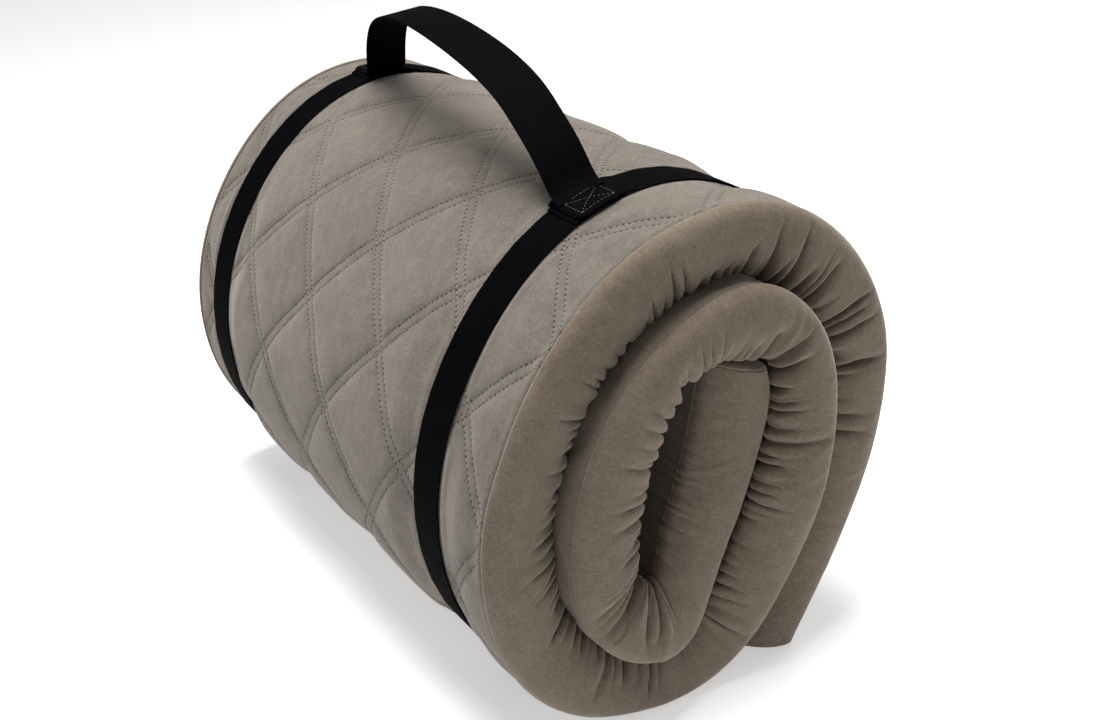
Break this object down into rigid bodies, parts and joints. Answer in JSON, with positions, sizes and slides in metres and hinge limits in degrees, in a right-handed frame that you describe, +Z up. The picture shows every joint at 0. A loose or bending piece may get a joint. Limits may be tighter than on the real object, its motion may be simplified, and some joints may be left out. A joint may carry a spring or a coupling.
{
  "type": "pressure relief mattress",
  "caption": "Quilted foam pressure relief mattress in a zipped cover, rolled up and held by elastic straps joined by a webbing carrying handle.",
  "frame": {"origin": "on the floor at the middle of the rolled mattress's footprint", "axes": "+Z up, Y along the roll with the open spiral end that stands proud facing -Y, +X to the right seen from that end"},
  "size_m": [0.3662, 0.62, 0.4801],
  "materials": {
    "quilt_velour": "matte",
    "wadding": "matte",
    "visco_foam": "matte",
    "base_foam": "matte",
    "stretch_fabric": "matte",
    "border_fabric": "matte",
    "zip_tape": "matte",
    "zip_nylon": "satin",
    "zip_metal": "satin",
    "strap_elastic": "matte",
    "handle_webbing": "matte"
  },
  "bodies": {
    "mattress": {"quilt_face": "quilt_velour", "quilt_wadding": "wadding", "visco_foam": "visco_foam", "base_foam": "base_foam", "plain_face": "stretch_fabric", "border_front": "border_fabric", "border_rear": "border_fabric", "border_inner_end": "border_fabric", "border_outer_end_quilt_side": "border_fabric", "border_outer_end_plain_side": "border_fabric", "zip_tape_quilt_side": "zip_tape", "zip_tape_plain_side": "zip_tape", "zip_chain": "zip_nylon", "zip_stop_front": "zip_metal", "zip_stop_rear": "zip_metal"},
    "harness": {"strap_front": "strap_elastic", "strap_rear": "strap_elastic", "handle_end_front": "handle_webbing", "handle_end_rear": "handle_webbing"},
    "carry_handle": {"handle": "handle_webbing"},
    "zip_slider_body": {"zip_slider": "zip_metal"},
    "zip_pull_body": {"zip_pull": "zip_metal"}
  },
  "joints": [
    {"name": "harness_slide", "type": "slide", "parent": "mattress", "child": "harness", "axis": [0, -1, 0], "range_m": [0, 0.6]},
    {"name": "handle_swing", "type": "hinge", "parent": "harness", "child": "carry_handle", "pos_m": [-0.01852, -0.199, 0.39103], "axis": [0.1053, 0.9944, 0.0108], "range_deg": [-50, 55], "stiffness_Nm_per_rad": 0.15},
    {"name": "zip_slide", "type": "slide", "parent": "mattress", "child": "zip_slider_body", "axis": [0, 1, 0], "range_m": [0, 0.545]},
    {"name": "zip_pull_swing", "type": "hinge", "parent": "zip_slider_body", "child": "zip_pull_body", "pos_m": [0.04767, -0.271, 0.00941], "axis": [-0.9552, 0, 0.296], "range_deg": [0, 120]}
  ]
}
